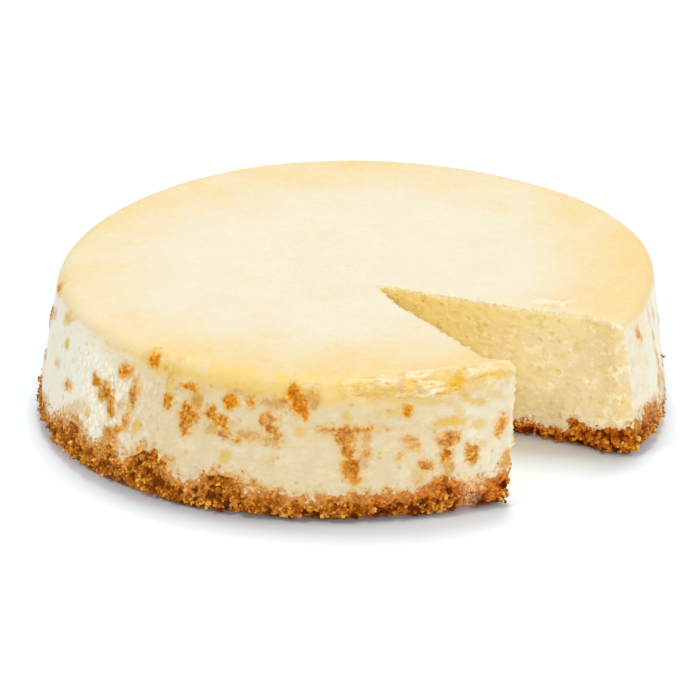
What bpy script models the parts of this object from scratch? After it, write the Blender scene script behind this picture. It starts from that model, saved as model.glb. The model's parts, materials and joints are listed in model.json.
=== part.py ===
"""A round baked cheesecake with one slice taken out.

Two solids make the cake. The crumb base is a shallow dish of pressed biscuit crumbs: thin in the
middle, thick where it meets the tin, and climbing the side to a ragged line. The cheese filling
sits in that dish and rises to a softly rounded rim. Both were cut together by the same two strokes
of a knife, so both are cut here by the same wedge.

Units are metres and +Z is up. Every shape is drawn round the cake's own axis and then moved by
BOX_MIDDLE, so that the origin is the middle of the underside's box. Azimuths are in degrees, counted
from +X towards +Y, and the slice is missing from the side towards +X and -Y.
"""

import math

import bmesh
import bpy

# Driving dimensions.
FOOT_RADIUS = 0.1147  # the crumb base, where it is widest
RIM_RADIUS = 0.108  # the filling, just under its rounded rim
HEIGHT = 0.0508  # floor to top, on the cake's axis
BULGE_HEIGHT = 0.006  # where the base is widest
UNDERCUT = 0.0010  # how far the base's lower edge rounds in under the bulge
TUCKED_SIDE = (-148.0, 30.0, 0.0026)  # the foot tucks in more here: azimuth, half width, distance
RIM_ROUND = 0.0050  # radius of the rounded rim
TOP_LEAN = 0.0036  # the top's centre lies this far towards +X
TOP_SLOPE = 0.010  # the top falls this much for each unit towards +X

# The tin was a little out of round. Each lobe is its count, its height and the azimuth of one peak.
FOOT_LOBES = ((3, 0.0020, -141.0), (2, 0.0006, 95.0))
RIM_LOBES = ((4, 0.0010, 108.0),)
# The knife pressed the corner beside the right face outwards: azimuth, half width, distance.
PRESSED_CORNER = (-25.0, 10.0, 0.0020)

# The crumb base's thickness, from its flat middle out to the wall.
BASE_THICKNESS = 0.0052
CORNER_WIDTH = 0.0265  # width of the thick ring where the base turns up
CORNER_RISE = 0.0052  # how much thicker that ring is
CORNER_STEPS = ((0.11, 0.95), (0.40, 0.62), (0.64, 1.0))  # share of the width, share of the rise
CRUST_HEIGHT = 0.0104  # height of the crumb line on the wall, between its peaks
# Peaks of the crumb line: azimuth and half width in degrees, and rise in metres.
CRUST_PEAKS = (
    (-176.0, 9.0, 0.0040),
    (-149.0, 6.5, 0.0052),
    (-137.5, 2.6, 0.0050),
    (-128.5, 4.2, 0.0085),
    (-113.5, 5.5, 0.0055),
    (-89.0, 5.0, 0.0014),
    (-74.5, 4.5, 0.0050),
    (-60.5, 4.5, 0.0052),
    (-24.0, 7.0, 0.0040),
    (-8.0, 5.0, 0.0110),
    (9.0, 5.0, 0.0045),
    (33.0, 5.0, 0.0070),
    (52.0, 6.0, 0.0036),
    (79.0, 4.0, 0.0080),
    (96.0, 5.0, 0.0030),
    (121.0, 4.5, 0.0066),
    (143.0, 6.0, 0.0044),
    (162.0, 3.5, 0.0072),
)

# The missing slice in plan, from the middle outwards, as the knife left it at the floor and at the
# top. The corner beside the left face was pressed out a little at the top.
CUT_POINT = (0.0103, -0.0202)
LEFT_FACE = (
    ((0.0165, -0.0342), (0.0168, -0.0362)),
    ((0.0360, -0.0660), (0.0425, -0.0780)),
    ((0.0530, -0.0955), (0.0556, -0.0880)),
    ((0.0562, -0.1060), (0.0592, -0.0970)),
    ((0.0550, -0.1300), (0.0570, -0.1300)),
)
RIGHT_FACE = (
    ((0.0583, -0.0408), (0.0605, -0.0425)),
    ((0.0960, -0.0612), (0.0935, -0.0548)),
    ((0.1050, -0.0620), (0.1020, -0.0540)),
    ((0.1350, -0.0560), (0.1350, -0.0480)),
)
CUT_MARGIN = 0.02  # the cutter runs this far past the cake, above and below

GAP = 0.0003  # free space between the filling and the base
BOX_MIDDLE = (0.0013, 0.0018)  # the middle of the cake's box, seen from the cake's own axis
SPOKES = 180  # points round each ring
RIM_STEPS = 5  # steps of the rounded rim
WALL_STEPS = 4  # steps of the filling's wall


def bump(azimuth, middle, half_width):
    """A smooth bump that is 1 at the azimuth `middle` and fades over `half_width` each way."""
    away = (azimuth - middle + 180) % 360 - 180
    return math.exp(-((away / half_width) ** 2))


def lobed(radius, lobes, azimuth):
    """A radius with its lobes and the pressed corner added."""
    swell = sum(size * math.cos(math.radians(n * (azimuth - at))) for n, size, at in lobes)
    middle, half_width, press = PRESSED_CORNER
    return radius + swell + press * bump(azimuth, middle, half_width)


def wall_radius(azimuth, z):
    """Radius of the cake's side at height z: a cone that leans in, with a rounded foot."""
    foot = lobed(FOOT_RADIUS, FOOT_LOBES, azimuth)
    if z < BULGE_HEIGHT:
        down = (BULGE_HEIGHT - z) / BULGE_HEIGHT
        middle, half_width, tuck = TUCKED_SIDE
        undercut = UNDERCUT + tuck * bump(azimuth, middle, half_width)
        return foot - undercut * (1 - math.sqrt(1 - down * down))
    rim = lobed(RIM_RADIUS, RIM_LOBES, azimuth)
    up = (z - BULGE_HEIGHT) / (HEIGHT - RIM_ROUND - BULGE_HEIGHT)
    return foot + (rim - foot) * min(up, 1.0)


def placed(azimuth, radius, z):
    """The point at that azimuth and radius, once the cake's lean and its sloping top are applied."""
    share = z / HEIGHT
    x = radius * math.cos(math.radians(azimuth)) + TOP_LEAN * share
    y = radius * math.sin(math.radians(azimuth))
    return (x, y, z - TOP_SLOPE * x * share)


def crust_line(azimuth):
    """Height of the ragged line on the wall where the crumbs end and the filling begins."""
    peaks = (rise * bump(azimuth, middle, half_width) for middle, half_width, rise in CRUST_PEAKS)
    return CRUST_HEIGHT + sum(peaks)


def crust_rings(lift):
    """The base's upper surface as rings, from its flat middle to the wall, raised by `lift`."""

    def step(width, rise):
        def ring(azimuth):
            radius = lobed(FOOT_RADIUS, FOOT_LOBES, azimuth) - CORNER_WIDTH * (1 - width)
            return radius, BASE_THICKNESS + CORNER_RISE * rise + lift

        return ring

    def wall_line(azimuth):
        z = crust_line(azimuth) + lift
        return wall_radius(azimuth, z), z

    return [step(0.0, 0.0), *(step(*share) for share in CORNER_STEPS), wall_line]


def base_rings():
    """The crumb base's outline, from the flat middle of its top to the edge of its underside."""
    heights = (BULGE_HEIGHT, 0.4 * BULGE_HEIGHT, 0.1 * BULGE_HEIGHT, 0.0)
    return crust_rings(0.0) + [lambda a, z=z: (wall_radius(a, z), z) for z in heights]


def filling_rings():
    """The filling's outline, from the flat middle of its underside to the edge of its flat top."""
    shoulder = HEIGHT - RIM_ROUND

    def wall(share):
        def ring(azimuth):
            low = crust_line(azimuth) + GAP
            z = low + (shoulder - low) * share
            return wall_radius(azimuth, z), z

        return ring

    def rim(turn):
        rise, inset = RIM_ROUND * math.sin(turn), RIM_ROUND * (1 - math.cos(turn))
        return lambda a: (wall_radius(a, shoulder) - inset, shoulder + rise)

    walls = [wall(step / WALL_STEPS) for step in range(1, WALL_STEPS + 1)]
    rims = [rim(math.pi / 2 * step / RIM_STEPS) for step in range(1, RIM_STEPS + 1)]
    return crust_rings(GAP) + walls + rims


def new_object(name, bm):
    """A mesh object made from `bm`, with its faces outwards, moved so that the box is centred."""
    bmesh.ops.recalc_face_normals(bm, faces=bm.faces)
    mesh = bpy.data.meshes.new(name)
    bm.to_mesh(mesh)
    bm.free()
    obj = bpy.data.objects.new(name, mesh)
    obj.location = (-BOX_MIDDLE[0], -BOX_MIDDLE[1], 0.0)
    bpy.context.scene.collection.objects.link(obj)
    return obj


def solid(name, rings):
    """An object whose skin runs through the rings, with a flat face closing each end."""
    bm = bmesh.new()
    last = None
    for ring in rings:
        azimuths = [360 * index / SPOKES for index in range(SPOKES)]
        loop = [bm.verts.new(placed(azimuth, *ring(azimuth))) for azimuth in azimuths]
        if last is None:
            bm.faces.new(loop)
        else:
            for i in range(SPOKES):
                j = (i + 1) % SPOKES
                bm.faces.new((last[i], last[j], loop[j], loop[i]))
        last = loop
    bm.faces.new(last)
    # Every four-sided face is split the same way, so the two solids' facing skins are parallel.
    bmesh.ops.triangulate(bm, faces=bm.faces, quad_method="FIXED")
    return new_object(name, bm)


def slice_cutter():
    """The wedge that the knife took out, which runs past the cake all round."""
    corners = [(CUT_POINT, CUT_POINT), *LEFT_FACE, *reversed(RIGHT_FACE)]
    bm = bmesh.new()
    loops = []
    for z in (-CUT_MARGIN, HEIGHT + CUT_MARGIN):
        share = z / HEIGHT
        loop = [
            bm.verts.new([f + (t - f) * share for f, t in zip(floor, top)] + [z])
            for floor, top in corners
        ]
        bm.faces.new(loop)
        loops.append(loop)
    count = len(corners)
    for i in range(count):
        j = (i + 1) % count
        bm.faces.new((loops[0][i], loops[0][j], loops[1][j], loops[1][i]))
    bmesh.ops.triangulate(bm, faces=bm.faces)
    cutter = new_object("slice_cutter", bm)
    cutter.hide_render = True
    cutter.display_type = "WIRE"
    return cutter


def material(name, colour, roughness):
    """A plain, matt food material."""
    made = bpy.data.materials.new(name)
    made.use_nodes = True
    shader = made.node_tree.nodes["Principled BSDF"]
    shader.inputs["Base Color"].default_value = (*colour, 1.0)
    shader.inputs["Roughness"].default_value = roughness
    shader.inputs["Metallic"].default_value = 0.0
    return made


def main():
    for obj in list(bpy.data.objects):
        bpy.data.objects.remove(obj)
    cutter = slice_cutter()
    crumb = material("baked_crumb", (0.48, 0.22, 0.065), 0.85)
    cheese = material("baked_cheese", (0.86, 0.75, 0.50), 0.55)
    for name, rings, finish in (
        ("crumb_base", base_rings(), crumb),
        ("cheese_filling", filling_rings(), cheese),
    ):
        obj = solid(name, rings)
        obj.data.materials.append(finish)
        cut = obj.modifiers.new("cut slice", "BOOLEAN")
        cut.operation = "DIFFERENCE"
        cut.solver = "EXACT"
        cut.object = cutter
        obj.data.shade_smooth()
        obj.data.set_sharp_from_angle(angle=math.radians(40))


main()
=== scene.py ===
"""The looks of a baked cheesecake on a crumb base, with one slice gone.

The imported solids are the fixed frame. The filling and the crumb base are each carved out of a copy
of their solid, and the loose things are strewn over them: biscuit crumbs of several sizes, crumbs
stuck to the cheese, and shavings of cheese along the cut. Lengths are in millimetres unless a name
says otherwise, and azimuths are in degrees round the cake's own axis, from +X towards +Y.
"""

import json
import logging
import math
from dataclasses import dataclass, field
from enum import Enum
from typing import Any, Callable, Iterator, Optional, Sequence, Union

import bpy
import numpy as np
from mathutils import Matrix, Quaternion, Vector
from mathutils.bvhtree import BVHTree

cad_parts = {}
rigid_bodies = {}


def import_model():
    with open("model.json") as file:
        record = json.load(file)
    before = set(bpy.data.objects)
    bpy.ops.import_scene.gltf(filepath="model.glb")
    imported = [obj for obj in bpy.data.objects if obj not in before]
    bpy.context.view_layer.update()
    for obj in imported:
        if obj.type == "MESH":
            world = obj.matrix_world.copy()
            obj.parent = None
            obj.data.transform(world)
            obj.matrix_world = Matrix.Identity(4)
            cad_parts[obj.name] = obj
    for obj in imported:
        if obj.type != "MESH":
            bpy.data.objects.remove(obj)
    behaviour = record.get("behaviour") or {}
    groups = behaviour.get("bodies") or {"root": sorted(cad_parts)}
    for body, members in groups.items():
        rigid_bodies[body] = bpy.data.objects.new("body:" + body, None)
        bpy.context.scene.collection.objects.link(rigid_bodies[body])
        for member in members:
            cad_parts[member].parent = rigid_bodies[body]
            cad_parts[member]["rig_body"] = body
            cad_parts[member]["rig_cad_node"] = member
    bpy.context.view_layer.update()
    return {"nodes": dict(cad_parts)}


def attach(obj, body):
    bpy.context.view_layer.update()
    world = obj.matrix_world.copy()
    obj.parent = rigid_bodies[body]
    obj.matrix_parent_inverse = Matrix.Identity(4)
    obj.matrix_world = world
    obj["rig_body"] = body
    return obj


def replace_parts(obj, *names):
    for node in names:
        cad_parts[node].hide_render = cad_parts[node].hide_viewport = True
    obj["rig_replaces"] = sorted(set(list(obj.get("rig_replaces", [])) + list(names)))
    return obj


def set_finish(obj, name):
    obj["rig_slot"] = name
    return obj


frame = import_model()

MM = 0.001  # one millimetre in metres
PIECE_TRIANGLES = 198_000  # pieces are thinned to at most this many triangles

log = logging.getLogger("cheesecake")

Colour = tuple[float, float, float]
Stops = tuple[tuple[float, Colour], ...]
Number = Union[float, "Wire"]
Anything = Union[float, int, bool, str, Sequence[float], "Wire", Any]


def shown(red: float, green: float, blue: float) -> Colour:
    """Turn a colour as a screen shows it, 0 to 255, into the linear one that a shader takes."""
    def channel(level: float) -> float:
        """Undo the screen's curve for one channel."""
        share = level / 255
        return share / 12.92 if share <= 0.04045 else ((share + 0.055) / 1.055) ** 2.4

    return channel(red), channel(green), channel(blue)


def smooth_step(values: np.ndarray, low: float, high: float) -> np.ndarray:
    """Rise from 0 at low to 1 at high with soft ends; low may be the larger one.

    Args:
        values: where to read the step.
        low: the value that gives 0.
        high: the value that gives 1.

    Returns:
        The shares, from 0 to 1.
    """
    share = np.clip((values - low) / (high - low), 0.0, 1.0)
    return share * share * (3 - 2 * share)


def hump(azimuths: np.ndarray, middle: float, half_width: float) -> np.ndarray:
    """Give a soft hump that is 1 at the azimuth middle and fades over half_width each way."""
    away = (azimuths - middle + 180) % 360 - 180
    return np.exp(-((away / half_width) ** 2))


# ---------------------------------------------------------------------------------------------
# Nodes written as expressions
# ---------------------------------------------------------------------------------------------


class Wire:
    """One output of a node. Arithmetic on it adds the matching node to its graph."""

    def __init__(self, graph: "Graph", socket: bpy.types.NodeSocket) -> None:
        """Keep the graph and the socket that the wire leaves from."""
        self.graph = graph
        self.socket = socket

    @property
    def many(self) -> bool:
        """True for a colour or a vector, which a Math node would turn grey."""
        return self.socket.type in ("VECTOR", "RGBA")

    def worked(self, operation: str, other: Anything, turned: bool = False) -> "Wire":
        """Combine this wire with another value.

        Args:
            operation: the Math or Vector Math operation.
            other: a number, a triple or another wire.
            turned: True puts the other value first.

        Returns:
            The result's wire.
        """
        triple = self.many or isinstance(other, tuple) or (isinstance(other, Wire) and other.many)
        pair = (other, self) if turned else (self, other)
        if not triple:
            return self.graph.add("ShaderNodeMath", {"operation": operation}, dict(enumerate(pair)))
        if operation == "MULTIPLY" and isinstance(other, (int, float)):
            other = (float(other),) * 3
            pair = (self, other)
        pair = tuple((p,) * 3 if isinstance(p, (int, float)) else p for p in pair)
        return self.graph.add("ShaderNodeVectorMath", {"operation": operation}, dict(enumerate(pair)))

    def __add__(self, other: Anything) -> "Wire":
        """self + other."""
        return self.worked("ADD", other)

    def __radd__(self, other: Anything) -> "Wire":
        """other + self."""
        return self.worked("ADD", other, True)

    def __sub__(self, other: Anything) -> "Wire":
        """self - other."""
        return self.worked("SUBTRACT", other)

    def __rsub__(self, other: Anything) -> "Wire":
        """other - self."""
        return self.worked("SUBTRACT", other, True)

    def __mul__(self, other: Anything) -> "Wire":
        """self * other."""
        return self.worked("MULTIPLY", other)

    def __rmul__(self, other: Anything) -> "Wire":
        """other * self."""
        return self.worked("MULTIPLY", other, True)

    def __truediv__(self, other: Anything) -> "Wire":
        """self / other."""
        return self.worked("DIVIDE", other)

    def at_least(self, other: Number) -> "Wire":
        """The larger of the two."""
        return self.worked("MAXIMUM", other)

    def at_most(self, other: Number) -> "Wire":
        """The smaller of the two."""
        return self.worked("MINIMUM", other)


class Graph:
    """A node tree, of a material or of geometry nodes, that is filled in by expressions."""

    def __init__(self, tree: bpy.types.NodeTree) -> None:
        """Start from an empty tree."""
        self.tree = tree
        tree.nodes.clear()

    @property
    def carves(self) -> bool:
        """True for a tree that changes a shape, and False for a material's."""
        return self.tree.type == "GEOMETRY"

    def add(
        self,
        kind: str,
        settings: Optional[dict[str, Any]] = None,
        sockets: Optional[dict[Union[int, str], Anything]] = None,
        output: Union[int, str] = 0,
    ) -> Wire:
        """Add one node.

        Args:
            kind: the node's type.
            settings: its properties, set first; "stops" gives a colour ramp's stops.
            sockets: a value or a wire for each input, by name or by number.
            output: the output that is wanted.

        Returns:
            That output's wire.
        """
        node = self.tree.nodes.new(kind)
        for name, value in (settings or {}).items():
            if name == "stops":
                self.set_stops(node.color_ramp, value)
            else:
                setattr(node, name, value)
        for name, value in (sockets or {}).items():
            socket = node.inputs[name]
            if isinstance(value, Wire):
                self.tree.links.new(value.socket, socket)
            elif socket.type == "RGBA" and len(value) == 3:
                socket.default_value = (*value, 1.0)
            else:
                socket.default_value = value
        return Wire(self, node.outputs[output]) if len(node.outputs) else Wire(self, None)

    @staticmethod
    def set_stops(ramp: bpy.types.ColorRamp, stops: Sequence[tuple[float, Colour]]) -> None:
        """Give a ramp exactly these stops."""
        while len(ramp.elements) < len(stops):
            ramp.elements.new(1.0)
        for element, (place, colour) in zip(ramp.elements, stops):
            element.position = place
            element.color = (*colour, 1.0)

    def place(self) -> Wire:
        """The point on the piece, in millimetres of the shared frame."""
        if self.carves:
            return self.add("GeometryNodeInputPosition") * (1 / MM)
        return self.add("ShaderNodeTexCoord", {}, {}, "Object") * (1 / MM)

    def rolled(self) -> Wire:
        """The point on the wall as if it were unrolled: along the rim, nothing, height; in mm."""
        height = self.channel(self.place(), 2)
        return self.add("ShaderNodeCombineXYZ", {}, {0: self.stamped("arc"), 1: 0.0, 2: height})

    def stamped(self, name: str) -> Wire:
        """A number that was stamped on the mesh."""
        if self.carves:
            return self.add("GeometryNodeInputNamedAttribute", {"data_type": "FLOAT"}, {"Name": name})
        return self.add("ShaderNodeAttribute", {"attribute_name": name}, {}, "Fac")

    def noise(self, at: Wire, grain: float, detail: float = 2.0, rough: float = 0.5) -> Wire:
        """Read a cloudy noise.

        Args:
            at: where it is read, in millimetres.
            grain: the size of its clouds, in millimetres.
            detail: how many finer layers it has.
            rough: how strong those are.

        Returns:
            The noise, from 0 to 1 and mostly near one half.
        """
        sockets = {"Vector": at, "Scale": 1 / grain, "Detail": detail, "Roughness": rough}
        return self.add("ShaderNodeTexNoise", {}, sockets, "Fac")

    def cells(self, at: Wire, grain: float, output: str = "Distance", loose: float = 1.0) -> Wire:
        """Read a pattern of packed cells.

        Args:
            at: where it is read, in millimetres.
            grain: the size of one cell, in millimetres.
            output: Distance from the cell's middle, or the cell's own Color.
            loose: 1 for cells at random, 0 for a grid.

        Returns:
            The distance as a share of the cell's size, or the colour.
        """
        sockets = {"Vector": at, "Scale": 1 / grain, "Randomness": loose}
        return self.add("ShaderNodeTexVoronoi", {}, sockets, output)

    def step(self, value: Wire, low: float, high: float) -> Wire:
        """A soft step from 0 at low to 1 at high."""
        if low > high:
            return 1 - self.step(value, high, low)
        sockets = {"Value": value, "From Min": low, "From Max": high}
        return self.add("ShaderNodeMapRange", {"interpolation_type": "SMOOTHSTEP"}, sockets)

    def mixed(self, first: Anything, second: Anything, share: Number) -> Wire:
        """Mix two colours by a share from 0 to 1."""
        return self.add("ShaderNodeMix", {"data_type": "RGBA"}, {0: share, 6: first, 7: second}, 2)

    def ramp(self, value: Wire, *stops: tuple[float, Colour]) -> Wire:
        """A colour read from a ramp of stops."""
        return self.add("ShaderNodeValToRGB", {"stops": stops}, {"Fac": value})

    def channel(self, colour: Wire, index: int) -> Wire:
        """One channel of a colour or one part of a vector."""
        return self.add("ShaderNodeSeparateXYZ", {}, {0: colour}, index)


# ---------------------------------------------------------------------------------------------
# Hand tools
# ---------------------------------------------------------------------------------------------


class Bench:
    """The work bench: one piece at a time is picked up and worked on."""

    @staticmethod
    def pick(piece: bpy.types.Object) -> None:
        """Select one piece alone and make it the active one."""
        bpy.ops.object.select_all(action="DESELECT")
        piece.select_set(True)
        bpy.context.view_layer.objects.active = piece

    @staticmethod
    def copy_of(node: bpy.types.Object, name: str) -> bpy.types.Object:
        """Copy a solid of the frame and merge its loose triangles into one skin.

        Args:
            node: the solid, which stays as it is.
            name: the copy's name.

        Returns:
            The copy, with its own mesh.
        """
        piece = node.copy()
        piece.data = node.data.copy()
        piece.name = name
        piece.parent = None
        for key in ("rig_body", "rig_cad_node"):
            del piece[key]
        bpy.context.scene.collection.objects.link(piece)
        piece.data.materials.clear()
        Bench.pick(piece)
        bpy.ops.object.mode_set(mode="EDIT")
        bpy.ops.mesh.select_all(action="SELECT")
        bpy.ops.mesh.remove_doubles(threshold=0.01 * MM)
        bpy.ops.object.mode_set(mode="OBJECT")
        return piece

    @staticmethod
    def finish_with(piece: bpy.types.Object, kind: str, **settings: Any) -> None:
        """Add one modifier to a piece and apply it.

        Args:
            piece: the piece.
            kind: the modifier's type.
            settings: its properties.
        """
        Bench.pick(piece)
        bpy.ops.object.modifier_add(type=kind)
        modifier = piece.modifiers[-1]
        for name, value in settings.items():
            setattr(modifier, name, value)
        bpy.ops.object.modifier_apply(modifier=modifier.name)

    @staticmethod
    def refine(piece: bpy.types.Object, seen: np.ndarray, cuts: int) -> None:
        """Cut the faces whose corners are all seen into smaller ones.

        Args:
            piece: the piece.
            seen: for each vertex, True where it is seen.
            cuts: how many cuts each edge gets.
        """
        mesh = piece.data
        corners = np.empty(len(mesh.loops), np.int32)
        mesh.loops.foreach_get("vertex_index", corners)
        starts = np.empty(len(mesh.polygons), np.int32)
        mesh.polygons.foreach_get("loop_start", starts)
        whole = np.logical_and.reduceat(seen[corners], starts)
        Bench.pick(piece)
        bpy.context.tool_settings.mesh_select_mode = (False, False, True)
        bpy.ops.object.mode_set(mode="EDIT")
        bpy.ops.mesh.select_all(action="DESELECT")
        bpy.ops.object.mode_set(mode="OBJECT")
        mesh.polygons.foreach_set("select", whole)
        bpy.ops.object.mode_set(mode="EDIT")
        bpy.ops.mesh.subdivide(number_cuts=cuts)
        bpy.ops.object.mode_set(mode="OBJECT")

    @staticmethod
    def triangles(piece: bpy.types.Object) -> int:
        """Count the triangles of a piece."""
        return sum(len(face.vertices) - 2 for face in piece.data.polygons)

    @staticmethod
    def thin(piece: bpy.types.Object, most: int) -> None:
        """Collapse the flattest edges until a piece has at most that many triangles."""
        count = Bench.triangles(piece)
        if count > most:
            Bench.finish_with(piece, "DECIMATE", ratio=most / count, use_collapse_triangulate=True)

    @staticmethod
    def hand_in(piece: bpy.types.Object, slot: str, look: bpy.types.Material) -> None:
        """Dress a finished piece, fix it to the cake and log it."""
        piece.data.materials.clear()
        piece.data.materials.append(look)
        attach(piece, "root")
        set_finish(piece, slot)
        log.info("%s: %d triangles", piece.name, Bench.triangles(piece))


class Region(Enum):
    """The parts of a cake's skin."""

    TOP = "top"
    WALL = "wall"
    CUT = "cut"
    UNDER = "under"


@dataclass(frozen=True)
class CakeAxis:
    """The cake's own axis, which leans a little, because the cake stands a little askew."""

    foot: tuple[float, float] = (-1.3, -1.8)
    lean: float = 3.6  # how far the top's middle lies towards +X
    height: float = 50.8
    reach: float = 112.0  # the wall's mean radius
    gap: float = -45.0  # azimuth of the missing slice's middle

    def polar(self, points: np.ndarray) -> tuple[np.ndarray, np.ndarray]:
        """Read points round the axis.

        Args:
            points: rows of x, y and z in millimetres.

        Returns:
            Their azimuths in degrees and their distances from the axis.
        """
        across = points[:, 0] - self.foot[0] - self.lean * points[:, 2] / self.height
        along = points[:, 1] - self.foot[1]
        return np.degrees(np.arctan2(along, across)), np.hypot(across, along)

    def arc(self, azimuths: np.ndarray) -> np.ndarray:
        """Turn azimuths into millimetres along the rim, counted from the middle of the gap."""
        return np.radians((azimuths - self.gap) % 360) * self.reach


AXIS = CakeAxis()


class Survey:
    """Where the skin of one solid of the frame looks: up, outwards, into the cut or down."""

    def __init__(self, node: bpy.types.Object) -> None:
        """Sort the solid's faces by region and keep a search tree of each region."""
        mesh = node.data
        points = np.empty(len(mesh.vertices) * 3)
        mesh.vertices.foreach_get("co", points)
        self.points = points.reshape(-1, 3) / MM
        normals = np.empty(len(mesh.polygons) * 3)
        mesh.polygons.foreach_get("normal", normals)
        normals = normals.reshape(-1, 3)
        faces = np.array([tuple(face.vertices) for face in mesh.polygons])
        middles = self.points[faces].mean(axis=1)
        azimuths, _ = AXIS.polar(middles)
        turn = np.radians(azimuths)
        outward = normals[:, 0] * np.cos(turn) + normals[:, 1] * np.sin(turn)
        level = np.hypot(normals[:, 0], normals[:, 1])
        kinds = np.where(normals[:, 2] > 0.5, Region.TOP.value, Region.UNDER.value)
        upright = (level > 0.85) | ((normals[:, 2] > 0) & (middles[:, 2] < 45) & (level > 0.5))
        kinds = np.where(upright, Region.WALL.value, kinds)
        kinds = np.where((level > 0.8) & (outward < 0.8 * level), Region.CUT.value, kinds)
        self.trees = {
            region: BVHTree.FromPolygons(self.points.tolist(), faces[kinds == region.value].tolist())
            for region in Region
            if (kinds == region.value).any()
        }

    def away(self, points: np.ndarray, region: Region) -> np.ndarray:
        """Measure how far points lie from a region, in millimetres."""
        tree = self.trees[region]
        return np.array([tree.find_nearest(point)[3] for point in points.tolist()])


def smeared(points: np.ndarray) -> np.ndarray:
    """Tell how far cheese was smeared down over the crumbs on the wall, in millimetres."""
    azimuths, _ = AXIS.polar(points)
    return 13.0 * hump(azimuths, -4, 10) + 3.0 * hump(azimuths, -180, 12)


def points_of(piece: bpy.types.Object) -> np.ndarray:
    """Read a piece's vertices as rows in millimetres."""
    points = np.empty(len(piece.data.vertices) * 3)
    piece.data.vertices.foreach_get("co", points)
    return points.reshape(-1, 3) / MM


def stamp(piece: bpy.types.Object, **fields: np.ndarray) -> None:
    """Write a number for each vertex, under the names that the looks read."""
    for name, values in fields.items():
        attribute = piece.data.attributes.get(name)
        if attribute is None:
            attribute = piece.data.attributes.new(name, "FLOAT", "POINT")
        attribute.data.foreach_set("value", values.astype(np.float32))


def read_stamp(piece: bpy.types.Object, name: str) -> np.ndarray:
    """Read back a number that was stamped on a piece."""
    values = np.empty(len(piece.data.vertices), np.float32)
    piece.data.attributes[name].data.foreach_get("value", values)
    return values


# ---------------------------------------------------------------------------------------------
# Crumbs baked onto the side
# ---------------------------------------------------------------------------------------------


class Bake(Enum):
    """How a crumb on the side has coloured the cheese."""

    ORANGE = 1.0
    BROWN = 0.5
    TAN = 0.15
    OLIVE = -0.4
    GOLD = -1.0


@dataclass(frozen=True)
class Stain:
    """A crumb, or a stain left by one, on the cake's side."""

    azimuth: float
    height: float
    wide: float
    tall: float
    bake: Bake
    strength: float = 1.0
    tilt: float = 0.0  # degrees, anticlockwise as seen from outside

    def depth(self, azimuths: np.ndarray, points: np.ndarray, radii: np.ndarray) -> np.ndarray:
        """Tell how deep inside the stain points lie, in millimetres, negative outside."""
        away = (azimuths - self.azimuth + 180) % 360 - 180
        across = np.radians(away) * radii
        up = points[:, 2] - self.height
        turn = math.radians(self.tilt)
        along = across * math.cos(turn) + up * math.sin(turn)
        over = up * math.cos(turn) - across * math.sin(turn)
        reach = np.hypot(along / (self.wide / 2), over / (self.tall / 2))
        return (1 - reach) * min(self.wide, self.tall) / 2


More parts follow.
